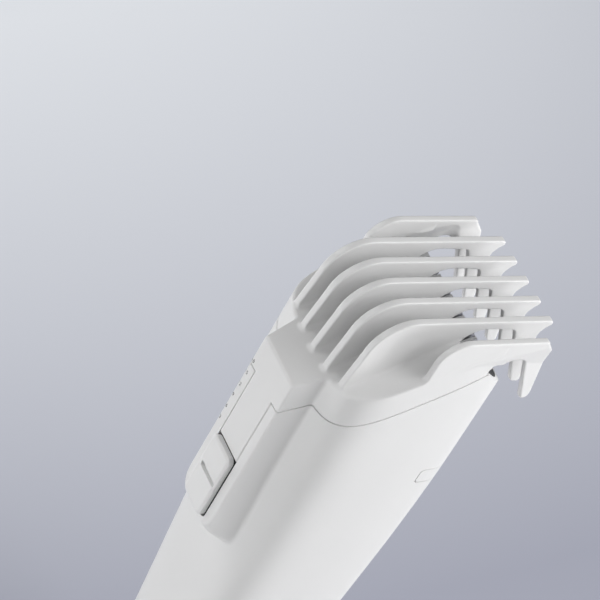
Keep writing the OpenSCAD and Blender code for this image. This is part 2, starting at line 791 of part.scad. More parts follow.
bell_h = 4;
bell_flange = 1.5;
pole_x = motor_d / 2 - 4.2;
module motor_end_bell() color(rubber_grey) at_motor() difference() {
    bore = 2 * can_t + 0.1;
    union() {
        motor_body(motor_d - bore, motor_flat - bore, motor_low, motor_low + bell_h);
        motor_body(motor_d, motor_flat, motor_low - bell_flange, motor_low);
        for (s = [-1, 1]) translate([s * pole_x, 0, motor_low])
            block([-0.3, 0.3], [-1, 1], [-bell_h, 0]);
    }
    translate([0, 0, motor_low + 0.5]) cylinder(d = shaft_d + 0.2, h = motor_len);
}

module motor_shaft() color(steel) at_motor()
    translate([0, 0, motor_low + 0.8]) cylinder(d = shaft_d, h = cam_z0 + cam_h - 1.8 - motor_low);

rotor_d = motor_flat - 3.9;
module rotor_core() color(brass) at_motor() difference() {
    translate([0, 0, motor_low + bell_h + 3]) union() {
        cylinder(d = rotor_d, h = motor_len - bell_h - 8);
        translate([0, 0, -2.5]) cylinder(d = 2.5 * shaft_d, h = 3);
    }
    translate([0, 0, motor_low]) cylinder(d = shaft_d, h = motor_len);
    for (turn = [0, 120, 240]) rotate([0, 0, turn])
        translate([rotor_d / 2 - 1.35, -0.6, motor_low + bell_h + 2]) cube([3, 1.2, motor_len]);
}

// Hub on the shaft with the eccentric drive pin and its counterweight side
cam_d = 7.4;
pin_len = 7;
module drive_cam() color(graphite) at_motor() difference() {
    union() {
        translate([0, 0, cam_z0]) cylinder(d = cam_d, h = cam_h);
        translate([0, cutter_throw, cam_z0 + cam_h - tiny]) cylinder(d = pin_d, h = pin_len);
    }
    translate([0, 0, cam_z0 - 1]) cylinder(d = shaft_d, h = cam_h);
    block([-cam_d, cam_d], [-cam_d, -0.35 * cam_d], [cam_z0 + 2.5, cam_z0 + cam_h + 1]);
}

// Its ears stay clear of the skirt round them
module motor_bracket() color(steel) intersection() {
    at_motor() difference() {
        translate([0, 0, bracket_z]) linear_extrude(height = bracket_t) {
            square([2 * bracket_x, motor_flat - 3], center = true);
            for (s = [-1, 1]) translate([s * bracket_x, 0]) circle(d = ear_d);
        }
        translate([0, 0, bracket_z - 1]) cylinder(d = boss_d + 0.2, h = bracket_t + 2);
        for (s = [-1, 1]) translate([s * bracket_x, 0, bracket_z - 1])
            cylinder(d = plate_screw_d + 0.3, h = bracket_t + 2);
    }
    head_loft(2 * wall + 2 * seat_gap, seam_h - head_rise, seam_h + head_rise);
}

screw_reach = 7;
module motor_screws() color(steel) for (s = [-1, 1]) at_motor() translate([s * bracket_x, 0, bracket_z]) {
    translate([0, 0, -plate_head_h]) cylinder(d = plate_head_d, h = plate_head_h);
    translate([0, 0, -1]) cylinder(d = plate_screw_d, h = 1 + screw_reach);
}

/* ---- Inner frame and electrics ---- */
spine_y1 = drive_model_y - motor_flat / 2 - 0.1;
spine_t = 1.6;
spine_y0 = spine_y1 - spine_t;
spine_w = 18;
clip_t = 1.4;
spine_top = seam_h + motor_top - 1;
foot_z0 = cap_floor + tiny;
foot_z1 = 15;
cell_y = spine_y1 + cell_d / 2 + 0.2;
cell_z0 = 34;
clip_h = 5;
board_z0 = 7.5;
board_z1 = 84;
board_y1 = spine_y0 - 4;
board_y0 = board_y1 - board_t;
board_w = 17;
board_hole_x = board_w / 2 - 2.5;
board_holes = [board_z0 + 14, board_z1 - 5];
socket_w = 8.9;
socket_t = 3.2;
socket_y = board_y1 + socket_t / 2;

// Clip round the cell or the motor, open at the back
module cradle(z, half, depth) {
    block([-half, half], [spine_y1 - 0.5, depth], [z, z + clip_h]);
}

module chassis() color(shell_white) difference() {
    union() {
        block([-spine_w / 2, spine_w / 2], [spine_y0, spine_y1], [foot_z0, spine_top]);
        // Foot with the posts of the cap screws
        block([-9.4, 9.4], [spine_y1 - 0.5, cap_screw_y + 3], [foot_z1 - 4, foot_z1]);
        for (s = [-1, 1]) translate([s * cap_screw_x, cap_screw_y, foot_z0])
            cylinder(d = 5.4, h = foot_z1 - foot_z0);
        for (z = [cell_z0 + 3, cell_z0 + cell_len - clip_h - 3])
            cradle(z, cell_d / 2 + clip_t, cell_y + 1.5);
        cradle(cell_z0 - 3, cell_d / 2 - 1, cell_y + 2);
        cradle(cell_z0 + cell_len + 0.8, cell_d / 2 - 1, cell_y + 2);
        for (z = [seam_h + motor_low + 2, seam_h + motor_top - clip_h - 4])
            cradle(z, motor_d / 2 + clip_t, drive_model_y + 3);
        for (s = [-1, 1], z = board_holes) translate([s * board_hole_x, board_y1, z])
            rotate([-90, 0, 0]) cylinder(d = 3.6, h = spine_y0 - board_y1 + 0.5);
    }
    translate([0, cell_y, cell_z0]) cylinder(d = cell_d + 0.2, h = cell_len);
    translate([0, drive_model_y, seam_h])
        motor_body(motor_d + 0.2, motor_flat + 0.2, motor_low - bell_h - 1, motor_top + 3);
    for (s = [-1, 1]) translate([s * cap_screw_x, cap_screw_y, 0])
        cylinder(d = case_screw_d, h = foot_z1 - cap_seat + 0.1);
    for (s = [-1, 1], z = board_holes) translate([s * board_hole_x, board_y1 - 1, z])
        rotate([-90, 0, 0]) cylinder(d = board_screw_d, h = board_screw_len + 1);
}

module battery_cell() color([0.2, 0.4, 0.7]) translate([0, cell_y, cell_z0 + 0.3]) {
    cylinder(d = cell_d, h = cell_len - 1.6);
    cylinder(d = 6, h = cell_len - 0.9);
}

module battery_tabs() color(steel) {
    translate([0, cell_y, 0]) {
        block([-2, 2], [0.5 - cell_d / 2, 4], [cell_z0, cell_z0 + 0.3]);
        block([-2, 2], [0.5 - cell_d / 2, 4], [cell_z0 + cell_len - 0.6, cell_z0 + cell_len - 0.3]);
    }
}

module circuit_board() color(board_green) difference() {
    union() {
        block([-board_w / 2, board_w / 2], [board_y0, board_y1], [board_z0, board_z1]);
        block([-5, 1], [board_y0 - 1.1, board_y0], [24, 30]);
        for (x = [3, 5.5]) block([x - 0.7, x + 0.7], [board_y0 - 0.9, board_y0], [26, 28.4]);
        translate([-5.4, 0, 0]) block([-1.5, 1.5], [board_y0 - 1.6, board_y0], [70, 74]);
    }
    for (s = [-1, 1], z = board_holes) translate([s * board_hole_x, board_y0 - 1, z])
        rotate([-90, 0, 0]) cylinder(d = board_screw_d + 0.5, h = board_t + 2);
}

board_screw_len = 4;
module board_screws() color(steel) for (s = [-1, 1], z = board_holes)
    translate([s * board_hole_x, board_y0, z]) rotate([-90, 0, 0]) {
        translate([0, 0, -1]) cylinder(d = 2 * board_screw_d + 0.2, h = 1);
        cylinder(d = board_screw_d, h = board_screw_len);
    }

plunger_h = 0.6;
switch_h = 2.2;
module tact_switch() color(graphite) {
    block([-2.25, 2.25], [board_y0 - switch_h, board_y0], [button_z - 2.25, button_z + 2.25]);
    translate([0, board_y0, button_z]) rotate([90, 0, 0]) cylinder(d = 2, h = switch_h + plunger_h);
}

module indicator_led() color([0.95, 0.95, 0.8])
    block([-0.8, 0.8], [board_y0 - 0.8, board_y0], [window_z - 0.4, window_z + 0.4]);

module light_pipe() color([0.9, 0.9, 0.95]) on_front(window_z)
    rotate([-90, 0, 0]) cylinder(d = window_d, h = half_d(window_z) + board_y0 - 1);

module charge_socket() color(steel) {
    difference() {
        translate([0, socket_y, 1]) rounded_plate(socket_w, socket_t, socket_t / 2 - tiny, 8);
        translate([0, socket_y, 0])
            rounded_plate(socket_w - 0.6, socket_t - 0.6, socket_t / 2 - 0.3 - tiny, 7.4);
    }
    block([-3.3, 3.3], [socket_y - 0.35, socket_y + 0.35], [2.2, 8]);
}

module socket_seal() color(rubber_grey) difference() {
    translate([0, socket_y, cap_floor]) rounded_plate(socket_w + 3, socket_t + 1.2, 2, 1.5);
    translate([0, socket_y, 0]) rounded_plate(socket_w + 0.1, socket_t + 0.1, socket_t / 2, 9);
}

button_proud = 0.5;
button_t = 2.2;
module power_button() color(shell_white) on_front(button_z) {
    reach = half_d(button_z) + board_y0 - switch_h - plunger_h - button_travel - 0.25;
    pill_y(button_w, button_len, -button_proud, wall + 0.3);
    pill_y(button_w + 2, button_len + 2, wall + 0.15, wall + 1.15);
    rotate([-90, 0, 0]) cylinder(d = 3, h = reach);
}

main_housing();
bottom_cap();
cap_seal();
cap_screws();
rear_plugs();
head_screws();
limit_comb();
slider_knob();
slider_carriage();
detent_spring();
detent_rack();
head_frame();
blade_holder();
fixed_blade();
blade_screws();
moving_blade();
cutter_yoke();
cutter_spring();
motor_can();
motor_end_bell();
motor_bracket();
motor_screws();
motor_shaft();
rotor_core();
drive_cam();
chassis();
battery_cell();
battery_tabs();
circuit_board();
board_screws();
tact_switch();
indicator_led();
light_pipe();
charge_socket();
socket_seal();
power_button();
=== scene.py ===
# Looks for the hair clipper: smooth moulded shells over the CAD frame, materials, light and camera.
# The frame's axes: +Z up to the comb, -Y the front with the slider, +X the right. Lengths here are mm.
import bmesh
import bpy
import json
import math
import numpy as np
from mathutils import Matrix, Vector


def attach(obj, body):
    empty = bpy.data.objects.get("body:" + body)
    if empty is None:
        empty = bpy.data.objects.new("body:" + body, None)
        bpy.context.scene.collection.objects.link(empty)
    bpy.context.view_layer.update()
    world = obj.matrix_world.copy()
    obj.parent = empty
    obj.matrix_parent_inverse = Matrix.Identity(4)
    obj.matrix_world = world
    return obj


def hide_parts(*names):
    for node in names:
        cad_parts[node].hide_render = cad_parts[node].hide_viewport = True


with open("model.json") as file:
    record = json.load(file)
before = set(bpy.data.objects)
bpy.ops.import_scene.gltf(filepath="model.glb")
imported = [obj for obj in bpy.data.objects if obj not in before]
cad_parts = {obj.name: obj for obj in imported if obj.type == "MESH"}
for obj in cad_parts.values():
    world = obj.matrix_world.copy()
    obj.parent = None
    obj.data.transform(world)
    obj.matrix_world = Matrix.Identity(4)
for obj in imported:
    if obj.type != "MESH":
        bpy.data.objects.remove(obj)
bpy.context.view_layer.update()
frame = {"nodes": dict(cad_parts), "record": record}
nodes = frame["nodes"]
MM = 0.001

# ---- Driving sizes, as in the part's source ----
SEAM_H, HEAD_W, HEAD_D, TAPER, POWER, WALL = 138, 40, 41, 0.27, 4.4, 1.8
PANEL_OUT, PANEL_W, DRAFT, PANEL_LEN, PANEL_T = 6.5, 15.4, 1.4, 45.5, 2
SLOT_W, SLOT_LEN = 9.8, 38.3
KNOB_LEN, KNOB_H = 18.5, 1.5
PITCH, TEETH, TOOTH_T, COMB_H, REACH, TOOTH_DEPTH = 6.2, 5, 1.9, 36, 53.8, 2.6
DECK_RISE, DECK_T, COMB_WALL = 8.6, 1.6, 1.7
PEAK_Y, REAR_FALL, SEAM_GAP, DECK_END = 38.5, 0.7, 0.2, 31
BUTTON_Z, BUTTON_W, BUTTON_LEN, WINDOW_Z, WINDOW_D = 52, 9, 15, 36, 2.6
CAP_H, CAP_FLOOR = 5, 2.5
SLOPE = math.tan(math.radians(33))
FRONT_Y = -(HEAD_D / 2 + PANEL_OUT)
HEAD_MID = HEAD_D / 2 + PANEL_OUT

# ---- Sizes of the moulded looks; some of them differ from the source's plainer forms ----
FILLET, RIM_R = 0.8, 0.45
# The side's rear part turns in by this angle, from this far behind the middle
FACET_TURN, FACET_Y = math.radians(5.5), 5
LEG_H = 19.5
# A cheek's thickness, its lean, its stronger turn behind the crease, and where the lean starts
CHEEK_T, CHEEK_PIVOT = 1.7, 22
CHEEK_TURN, CHEEK_BEND = math.tan(math.radians(0.3)), math.tan(math.radians(4.3))
# Play on each side of the tongue and the thumb piece, wider than in the source, and how far both sit to
# the left in the slot, where the source has them in its middle
TONGUE_SHIFT, TONGUE_PLAY, KNOB_SHIFT, KNOB_PLAY = 0.1, 0.17, 0.12, 0.3
KNOB_R, KNOB_BEVEL, KNOB_EDGE = 1.5, 0.75, 0.12
GROOVE_W, GROOVE_R, GROOVE_DEPTH = 3.1, 0.45, 0.9
PLUG_W, PLUG_H, PLUG_TURN, PLUG_PLAY = 9, 4.4, 51, 0.22
# Ends of cutting tools: well past the whole body, and well past the head's surface
FAR, OUT = 90, 40
# The printed scale; its step is a little wider than the notches'
NUMBER_SIZE, NUMBER_X, NUMBER_Z, NUMBER_STEP = 1.35, -7.15, -17.2, 3.7

coarse = 1


# ---- Distance fields: each takes arrays and gives the distance to a surface, negative inside ----
def seam_at(y):
    return SLOPE * y


def deck_at(y):
    return SLOPE * y + DECK_RISE


def soft_min(a, b, k):
    h = np.clip(k - np.abs(a - b), 0, None) / k
    return np.minimum(a, b) - h * h * k * 0.25


def soft_max(a, b, k):
    return -soft_min(-a, -b, k)


def superellipse(x, y, half_w, half_d):
    u = np.abs(x / half_w)
    v = np.abs(y / half_d)
    g = np.maximum((u**POWER + v**POWER) ** (1 / POWER), 1e-3)
    steep = g ** (1 - POWER) * np.hypot(u ** (POWER - 1) / half_w, v ** (POWER - 1) / half_d)
    return (g - 1) / np.maximum(steep, 1e-3)


def body_scale(z):
    t = np.clip((SEAM_H - z) / SEAM_H, 0, 1)
    return 1 - TAPER * t * t * (3 - 2 * t)


def segment_distance(p, q, a, b):
    d = (q[0] - p[0], q[1] - p[1])
    t = ((a - p[0]) * d[0] + (b - p[1]) * d[1]) / (d[0] ** 2 + d[1] ** 2)
    t = np.clip(t, 0, 1)
    return np.hypot(a - p[0] - t * d[0], b - p[1] - t * d[1])


def line_distance(points, a, b):
    d = np.inf
    for p, q in zip(points[:-1], points[1:]):
        d = np.minimum(d, segment_distance(p, q, a, b))
    return d


def polygon_distance(points, a, b):
    ring = list(points) + [points[0]]
    inside = np.zeros(np.broadcast(a, b).shape, bool)
    for p, q in zip(ring[:-1], ring[1:]):
        if p[1] == q[1]:
            continue
        crosses = ((b < p[1]) != (b < q[1])) & (a < (q[0] - p[0]) * (b - p[1]) / (q[1] - p[1]) + p[0])
        inside = inside ^ crosses
    d = line_distance(ring, a, b)
    return np.where(inside, -d, d)


def extruded(flat, across, r):
    """Distance to a plate: flat is its outline's distance, across its faces', r its edges' radius."""
    u = flat + r
    v = across + r
    return np.minimum(np.maximum(u, v), 0) + np.hypot(np.maximum(u, 0), np.maximum(v, 0)) - r


def arc(centre, r, start, end, steps):
    angles = np.radians(np.linspace(start, end, steps + 1))
    return [(centre[0] + r * math.cos(t), centre[1] + r * math.sin(t)) for t in angles]


# ---- Head coordinates: y back from the panel's face, z up from the seam ----
def panel_plan(x, y):
    """Raised panel in plan, with drafted sides and a rounded rim."""
    side = (np.abs(x) - PANEL_W / 2 - DRAFT * y / PANEL_OUT) * math.cos(math.atan(DRAFT / PANEL_OUT))
    return extruded(side, np.maximum(-y, y - 18), RIM_R)


def outer_plan(x, y, scale=1, inset=0):
    """Outline of the shell: a superellipse whose sides turn in a little behind a soft upright edge."""
    shell = superellipse(x, y - HEAD_MID, HEAD_W / 2 * scale - inset, HEAD_D / 2 * scale - inset)
    facet = (np.abs(x) - HEAD_W / 2 * scale + inset) * math.cos(FACET_TURN)
    facet = facet + (y - HEAD_MID - FACET_Y * scale) * math.sin(FACET_TURN)
    return soft_max(shell, facet, 0.5)


def head_outer(x, y):
    return soft_min(outer_plan(x, y), panel_plan(x, y), FILLET)


def body_outer(x, y, z):
    """Housing and cap: the tapered body with the panel blended on, rounded away at its lower end."""
    shell = outer_plan(x, y, body_scale(z + SEAM_H))
    half = PANEL_W / 2 + DRAFT * y / PANEL_OUT
    r = 6.5
    ramp = ((6 - PANEL_LEN) - z) * 0.66 - y * 0.75
    end = -PANEL_LEN - z
    corner = np.hypot(np.maximum(np.abs(x) - half + r, 0), np.maximum(end + r, 0)) - r
    edge = soft_max(np.maximum(np.abs(x) - half, corner), ramp, 4)
    panel = extruded(edge, np.maximum(-y, y - 18), RIM_R)
    return soft_min(shell, panel, FILLET)


def top_at(y):
    return COMB_H - 0.045 * (REACH - y)


def tooth_outlines(x):
    """Whole outline of a tooth in (y, z), and its outer edge alone."""
    bow_y, bow_r = 18.2, 10.5
    back = 0.0072 * x * x
    foot = 6.3 + back
    under = top_at(REACH - 12) - TOOTH_DEPTH
    outer = [(foot + 0.6, deck_at(foot) - 1.5), (foot + 0.1, deck_at(foot) + 1.5)]
    outer += arc((bow_y + back, top_at(bow_y) - bow_r), bow_r, 178, 94, 14)
    outer += arc((REACH - 0.9, COMB_H - 0.9), 0.8, 88, -40, 5)
    outer += [(REACH - 1.3, COMB_H - 2.3), (REACH - 2.1, COMB_H - 3.6), (REACH - 2.3, COMB_H - 5)]
    outer += [(REACH + 0.8, COMB_H - LEG_H + 0.6), (REACH + 0.4, COMB_H - LEG_H)]
    inner = [(REACH - 1.2, COMB_H - LEG_H - 0.1), (REACH - 1.7, COMB_H - LEG_H + 0.4)]
    inner += arc((REACH - 10.5, under - 2), 2, 25, 90, 5)
    inner += arc((DECK_END + 6.5, under - 6), 6, 90, 160, 7)
    inner += [(DECK_END, deck_at(DECK_END) - DECK_T), (foot + 1, deck_at(foot + 1) - DECK_T)]
    return outer + inner, outer


def cheek_face(y, z):
    """Half the comb's width at its cheeks: behind a crease that climbs to the rear top they turn in more."""
    behind = y - HEAD_MID - FACET_Y - np.clip((z - 28) / 0.34, 0, 30)
    behind = soft_max(behind, np.zeros_like(behind), 1.5)
    return HEAD_W / 2 - 0.06 - CHEEK_TURN * (y - CHEEK_PIVOT) - CHEEK_BEND * behind


def cheek_outline(arch):
    end = REACH - 4.3
    front = [(CHEEK_PIVOT - 1, seam_at(CHEEK_PIVOT - 1)), (CHEEK_PIVOT + 0.2, deck_at(CHEEK_PIVOT) - 0.5)]
    top = arc((29.5, top_at(29.5) - 7.4), 7.4, 166, 92, 10)
    top += arc((end - 0.9, top_at(end) - 0.9), 0.9, 90, 15, 4)
    leg = [(end + 1.9, COMB_H - 3), (REACH + 0.85, COMB_H - LEG_H + 1.6), (REACH + 0.7, COMB_H - LEG_H + 0.2)]
    leg += [(REACH + 0.1, COMB_H - LEG_H - 0.4), (REACH - 1.1, COMB_H - LEG_H - 0.4)]
    return front + top + leg + arch + [(DECK_END, seam_at(DECK_END) + SEAM_GAP)]


ARCH_OUTER = arc((REACH - 9.7, COMB_H - 9.8), 3.4, 20, 150, 10) + [(PEAK_Y + 0.4, seam_at(PEAK_Y) + 2.2)]
ARCH_INNER = arc((REACH - 10.2, COMB_H - 3.7), 1.7, 0, 100, 8)
ARCH_INNER += [(PEAK_Y - 0.5, COMB_H - 3.4), (DECK_END + 0.5, COMB_H - 5.6)]
ARCH_INNER += [(DECK_END, deck_at(DECK_END) - 1)]


def comb_field(x, y, z):
    """The length comb: shell over the head, deck, bowed teeth and cheeks, run into each other."""
    plan = head_outer(x, y)
    above = seam_at(y) - z
    cos = math.cos(math.radians(33))
    # Deck and shell
    low = np.minimum((above + SEAM_GAP) * cos, PEAK_Y - 0.6 - y)
    tongue = np.abs(x + TONGUE_SHIFT) - SLOT_W / 2 + TONGUE_PLAY
    tongue = np.maximum(tongue, np.maximum(y - PANEL_T + 0.1, -19.35 - z))
    link = np.maximum(np.abs(x) - 3, np.maximum(np.abs(y - 2.95) - 1.2, np.abs(z + 18.35) - 0.95))
    hook = np.maximum(np.abs(x) - 3, np.maximum(np.abs(y - 3.6) - 0.55, np.abs(z + 22.05) - 4.65))
    low = np.minimum(low, tongue)
    shell = soft_max(np.maximum(plan, y - PEAK_Y + 0.8), (z - deck_at(y)) * cos, 0.6)
    room_plan = outer_plan(x, y, 1, COMB_WALL)
    room_plan = np.minimum(room_plan, np.maximum(np.abs(x) - 6.3, PANEL_T - y))
    room = np.maximum(room_plan, np.minimum(DECK_END - y, (z - deck_at(y) + DECK_T) * cos))
    shell = np.maximum(shell, -room)
    # The shell's wall is thinner under the arches inside the cheeks
    recess = [(DECK_END, 0), (PEAK_Y, 0), (PEAK_Y, COMB_H - 3.3), (DECK_END + 0.5, COMB_H - 5.6)]
    recess += [(DECK_END, deck_at(DECK_END) - 1)]
    shell = np.maximum(shell, -np.maximum(outer_plan(x, y, 1, COMB_WALL / 2), polygon_distance(recess, y, z)))
    # Teeth
    body = shell
    for i in range(TEETH):
        mid = (i - (TEETH - 1) / 2) * PITCH
        whole, outer = tooth_outlines(mid)
        depth = np.clip(line_distance(outer, y, z), 0, 5)
        draft = 0.055 + 0.045 * np.clip((COMB_H - 5 - z) / 6, 0, 1) * (y > DECK_END + 8)
        half = TOOTH_T / 2 - 0.02 - draft * depth
        tooth = extruded(polygon_distance(whole, y, z), np.abs(x - mid) - half, 0.3)
        body = soft_min(body, tooth, 1.2)
    # Cheeks
    face = cheek_face(y, z)
    depth = np.clip((face - np.abs(x)) / CHEEK_T, 0, 1)
    outline = polygon_distance(cheek_outline(ARCH_OUTER), y, z) * (1 - depth)
    outline = outline + polygon_distance(cheek_outline(ARCH_INNER), y, z) * depth
    across = np.maximum(np.abs(x) - face, face - CHEEK_T - np.abs(x))
    cheek = extruded(outline, across, 0.35)
    joined = soft_min(body, cheek, 1.1)
    body = np.where(z > deck_at(y) - DECK_T, joined, np.minimum(body, cheek))
    body = soft_max(body, low, 0.3)
    # Nothing grows into the head's room or out past the head's front and sides
    body = np.maximum(body, -np.maximum(room, y - DECK_END))
    body = np.maximum(body, head_outer(x, np.minimum(y, HEAD_MID)) - 0.02)
    return np.minimum(body, np.minimum(link, hook))


# ---- Meshes from fields ----
def surface_net(field, low, high, step):
    """A closed quad mesh on field = 0, with each vertex moved onto the surface."""
    axes = [np.arange(low[i], high[i] + step, step) for i in range(3)]
    x, y, z = axes[0][:, None, None], axes[1][None, :, None], axes[2][None, None, :]
    f = np.asarray(field(x, y, z), np.float32)
    f = np.broadcast_to(f, (len(axes[0]), len(axes[1]), len(axes[2])))
    neg = f < 0
    shape = tuple(n - 1 for n in f.shape)
    count = np.zeros(shape, np.int8)
    corners = [(a, b, c) for a in (0, 1) for b in (0, 1) for c in (0, 1)]
    for a, b, c in corners:
        count += neg[a : a + shape[0], b : b + shape[1], c : c + shape[2]]
    cells = np.argwhere((count > 0) & (count < 8))
    number = np.full(shape, -1, np.int32)
    number[tuple(cells.T)] = np.arange(len(cells))
    total = np.zeros((len(cells), 3))
    hits = np.zeros(len(cells))
    for p in corners:
        for axis in range(3):
            if p[axis]:
                continue
            q = tuple(p[i] + (i == axis) for i in range(3))
            fp = f[tuple((cells + p).T)]
            fq = f[tuple((cells + q).T)]
            cross = (fp < 0) != (fq < 0)
            t = np.where(cross, fp / np.where(cross, fp - fq, 1), 0)
            point = np.array(p, float)[None, :] + t[:, None] * np.eye(3)[axis][None, :]
            total[cross] += point[cross]
            hits[cross] += 1
    verts = np.array(low)[None, :] + (cells + total / hits[:, None]) * step
    faces = []
    for axis in range(3):
        u, v = (axis + 1) % 3, (axis + 2) % 3
        edge = np.argwhere(np.diff(neg, axis=axis))
        edge = edge[(edge[:, u] > 0) & (edge[:, v] > 0) & (edge[:, u] < shape[u]) & (edge[:, v] < shape[v])]
        flip = neg[tuple(edge.T)]
        du, dv = np.eye(3, dtype=int)[u], np.eye(3, dtype=int)[v]
        quad = np.stack([number[tuple((edge - o).T)] for o in (du + dv, dv, 0 * du, du)], 1)
        quad[~flip] = quad[~flip][:, ::-1]
        faces.append(quad)
    faces = np.concatenate(faces)
    # One Newton step along the gradient
    e = 0.05
    x, y, z = verts.T
    value = field(x, y, z)
    grad = np.stack([field(x + e, y, z), field(x, y + e, z), field(x, y, z + e)], 1)
    grad = (grad - value[:, None]) / e
    move = grad * (value / np.maximum((grad**2).sum(1), 0.2))[:, None]
    verts = verts - np.clip(move, -step / 2, step / 2)
    return verts, faces


def new_mesh(name, verts, faces):
    mesh = bpy.data.meshes.new(name)
    mesh.vertices.add(len(verts))
    mesh.vertices.foreach_set("co", (np.asarray(verts, np.float32) * MM).ravel())
    faces = np.asarray(faces, np.int32)
    mesh.loops.add(faces.size)
    mesh.loops.foreach_set("vertex_index", faces.ravel())
    mesh.polygons.add(len(faces))
    mesh.polygons.foreach_set("loop_start", np.arange(len(faces), dtype=np.int32) * faces.shape[1])
    mesh.update(calc_edges=True)
    mesh.validate()
    return mesh


def add_object(name, mesh):
    obj = bpy.data.objects.new(name, mesh)
    bpy.context.scene.collection.objects.link(obj)
    return obj


def from_field(name, field, low, high, step):
    """Object from a field in head coordinates."""
    verts, faces = surface_net(field, low, high, step)
    verts = verts + np.array([0, FRONT_Y, SEAM_H])
    obj = add_object(name, new_mesh(name, verts, faces))
    smooth(obj, 180)
    return obj


def smooth(obj, angle):
    obj.data.shade_smooth()
    if angle < 180:
        obj.data.set_sharp_from_angle(angle=math.radians(angle))


def ray_loft(name, field, heights, angles):
    """Closed solid: at each height, rays from the axis find where the field turns positive."""
    z = np.array(heights, float)[:, None]
    t = np.radians(np.array(angles, float))[None, :]
    dx, dy = np.sin(t), -np.cos(t)
    near, away = np.full((len(heights), len(angles)), 2.0), np.full((len(heights), len(angles)), 45.0)
    for _ in range(26):
        mid = (near + away) / 2
        inside = field(mid * dx, mid * dy, z) < 0
        near = np.where(inside, mid, near)
        away = np.where(inside, away, mid)
    r = (near + away) / 2
    n = len(angles)
    ring = np.stack([r * dx, r * dy, np.broadcast_to(z, r.shape)], 2).reshape(-1, 3)
    ends = np.array([[0, 0, heights[0]], [0, 0, heights[-1]]], float)
    quads = []
    for k in range(len(heights) - 1):
        i = np.arange(n)
        j = (i + 1) % n
        quads.append(np.stack([k * n + i, k * n + j, (k + 1) * n + j, (k + 1) * n + i], 1))
    quads = np.concatenate(quads)
    mesh = bpy.data.meshes.new(name)
    i = np.arange(n)
    j = (i + 1) % n
    top = (len(heights) - 1) * n
    lids = [(int(b), int(a), len(ring)) for a, b in zip(i, j)]
    lids += [(int(top + a), int(top + b), len(ring) + 1) for a, b in zip(i, j)]
    verts = np.concatenate([ring, ends]) * MM
    mesh.from_pydata(verts.tolist(), [], quads.tolist() + lids)
    return add_object(name, mesh)


def prism(name, outline, low, high, place):
    """Solid from an outline of (a, b) points, spanned from low to high along the third axis."""
    n = len(outline)
    flat = [place(a, b, h) for h in (low, high) for a, b in outline]
    faces = [list(range(n)), list(range(2 * n - 1, n - 1, -1))]
    faces += [[i, n + i, n + (i + 1) % n, (i + 1) % n] for i in range(n)]
    mesh = bpy.data.meshes.new(name)
    mesh.from_pydata([Vector(p) * MM for p in flat], [], faces)
    obj = add_object(name, mesh)
    mend = bmesh.new()
    mend.from_mesh(mesh)
    bmesh.ops.recalc_face_normals(mend, faces=mend.faces)
    mend.to_mesh(mesh)
    mend.free()
    return obj


def in_head(x, y, z):
    return (x, y + FRONT_Y, z + SEAM_H)


def boolean(obj, operation, *tools, keep=False):
    for tool in tools:
        mod = obj.modifiers.new("cut", "BOOLEAN")
        mod.operation = operation
        mod.solver = "MANIFOLD"
        mod.object = tool
        depsgraph = bpy.context.evaluated_depsgraph_get()
        result = bpy.data.meshes.new_from_object(obj.evaluated_get(depsgraph))
        obj.modifiers.clear()
        old = obj.data
        obj.data = result
        bpy.data.meshes.remove(old)
        if not keep:
            bpy.data.objects.remove(tool)
    return obj


def copy_of(obj, name):
    twin = obj.copy()
    twin.data = obj.data.copy()
    twin.name = name
    bpy.context.scene.collection.objects.link(twin)
    return twin


def rounded_outline(w, h, r, steps=8):
    points = []
    for cx, cy, start in ((w / 2 - r, h / 2 - r, 0), (r - w / 2, h / 2 - r, 90),
                          (r - w / 2, r - h / 2, 180), (w / 2 - r, r - h / 2, 270)):
        points += arc((cx, cy), r, start, start + 90, steps)
    return points


# ---- Materials ----
def plastic(name, colour, rough, grain=0.00004, fine=2600, sheen=0.0, edge=0.00012):
    """Moulded plastic: a fine etched texture, faint tone changes and softly rounded edges."""
    mat = bpy.data.materials.new(name)
    mat.use_nodes = True
    tree = mat.node_tree
    shader = tree.nodes["Principled BSDF"]
    shader.inputs["Roughness"].default_value = rough
    shader.inputs["Specular IOR Level"].default_value = 0.5
    place = tree.nodes.new("ShaderNodeTexCoord")
    tone = tree.nodes.new("ShaderNodeTexNoise")
    tone.inputs["Scale"].default_value = 35
    tone.inputs["Detail"].default_value = 2
    ramp = tree.nodes.new("ShaderNodeValToRGB")
    ramp.color_ramp.elements[0].position = 0.3
    ramp.color_ramp.elements[1].position = 0.7
    ramp.color_ramp.elements[0].color = tuple(c * 0.975 for c in colour) + (1,)
    ramp.color_ramp.elements[1].color = tuple(colour) + (1,)
    tree.links.new(place.outputs["Object"], tone.inputs["Vector"])
    tree.links.new(tone.outputs["Fac"], ramp.inputs["Fac"])
    tree.links.new(ramp.outputs["Color"], shader.inputs["Base Color"])
    etch = tree.nodes.new("ShaderNodeTexNoise")
    etch.inputs["Scale"].default_value = fine
    etch.inputs["Detail"].default_value = 3
    bump = tree.nodes.new("ShaderNodeBump")
    bump.inputs["Strength"].default_value = 0.35
    bump.inputs["Distance"].default_value = grain
    corner = tree.nodes.new("ShaderNodeBevel")
    corner.samples = 4
    corner.inputs["Radius"].default_value = edge
    tree.links.new(place.outputs["Object"], etch.inputs["Vector"])
    tree.links.new(etch.outputs["Fac"], bump.inputs["Height"])
    tree.links.new(corner.outputs["Normal"], bump.inputs["Normal"])
    tree.links.new(bump.outputs["Normal"], shader.inputs["Normal"])
    if sheen:
        shader.inputs["Sheen Weight"].default_value = sheen
    return mat


